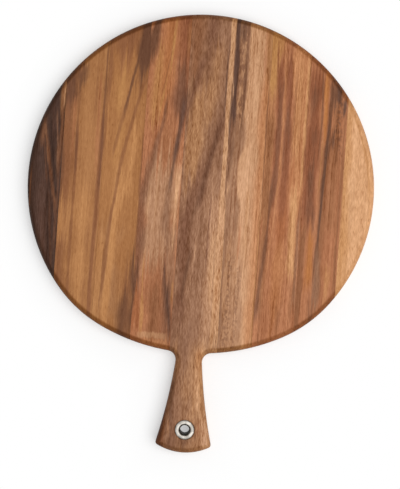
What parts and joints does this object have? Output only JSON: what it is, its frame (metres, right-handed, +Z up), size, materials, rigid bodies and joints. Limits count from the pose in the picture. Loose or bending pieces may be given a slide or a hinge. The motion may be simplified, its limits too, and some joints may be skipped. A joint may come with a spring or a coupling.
{
  "type": "serving paddle",
  "caption": "Round edge-glued hardwood serving board with a short flared handle, rounded edges and a metal eyelet in the handle to hang it by.",
  "frame": {"origin": "centre of the round board, on the flat face that it rests on", "axes": "+Z up out of the serving face, handle along -Y, +X to the right as the picture shows it"},
  "size_m": [0.3556, 0.4501, 0.0203],
  "materials": {
    "acacia_handle": "sanded, oiled, satin",
    "acacia_left_1": "sanded, oiled, satin",
    "acacia_left_2": "sanded, oiled, satin",
    "acacia_left_3": "sanded, oiled, satin",
    "acacia_left_4": "sanded, oiled, satin",
    "acacia_right_1": "sanded, oiled, satin",
    "acacia_right_2": "sanded, oiled, satin",
    "acacia_right_3": "sanded, oiled, satin",
    "acacia_right_4": "sanded, oiled, satin",
    "nickel_plate": "pressed, nickel plated"
  },
  "bodies": {
    "root": {"handle_stave": "acacia_handle", "handle_corner_left": "acacia_left_1", "left_stave_1": "acacia_left_1", "left_stave_2": "acacia_left_2", "left_stave_3": "acacia_left_3", "left_stave_4": "acacia_left_4", "right_stave_1": "acacia_right_1", "right_stave_2": "acacia_right_2", "right_stave_3": "acacia_right_3", "right_stave_4": "acacia_right_4", "eyelet_front": "nickel_plate", "eyelet_back_washer": "nickel_plate"}
  },
  "joints": []
}
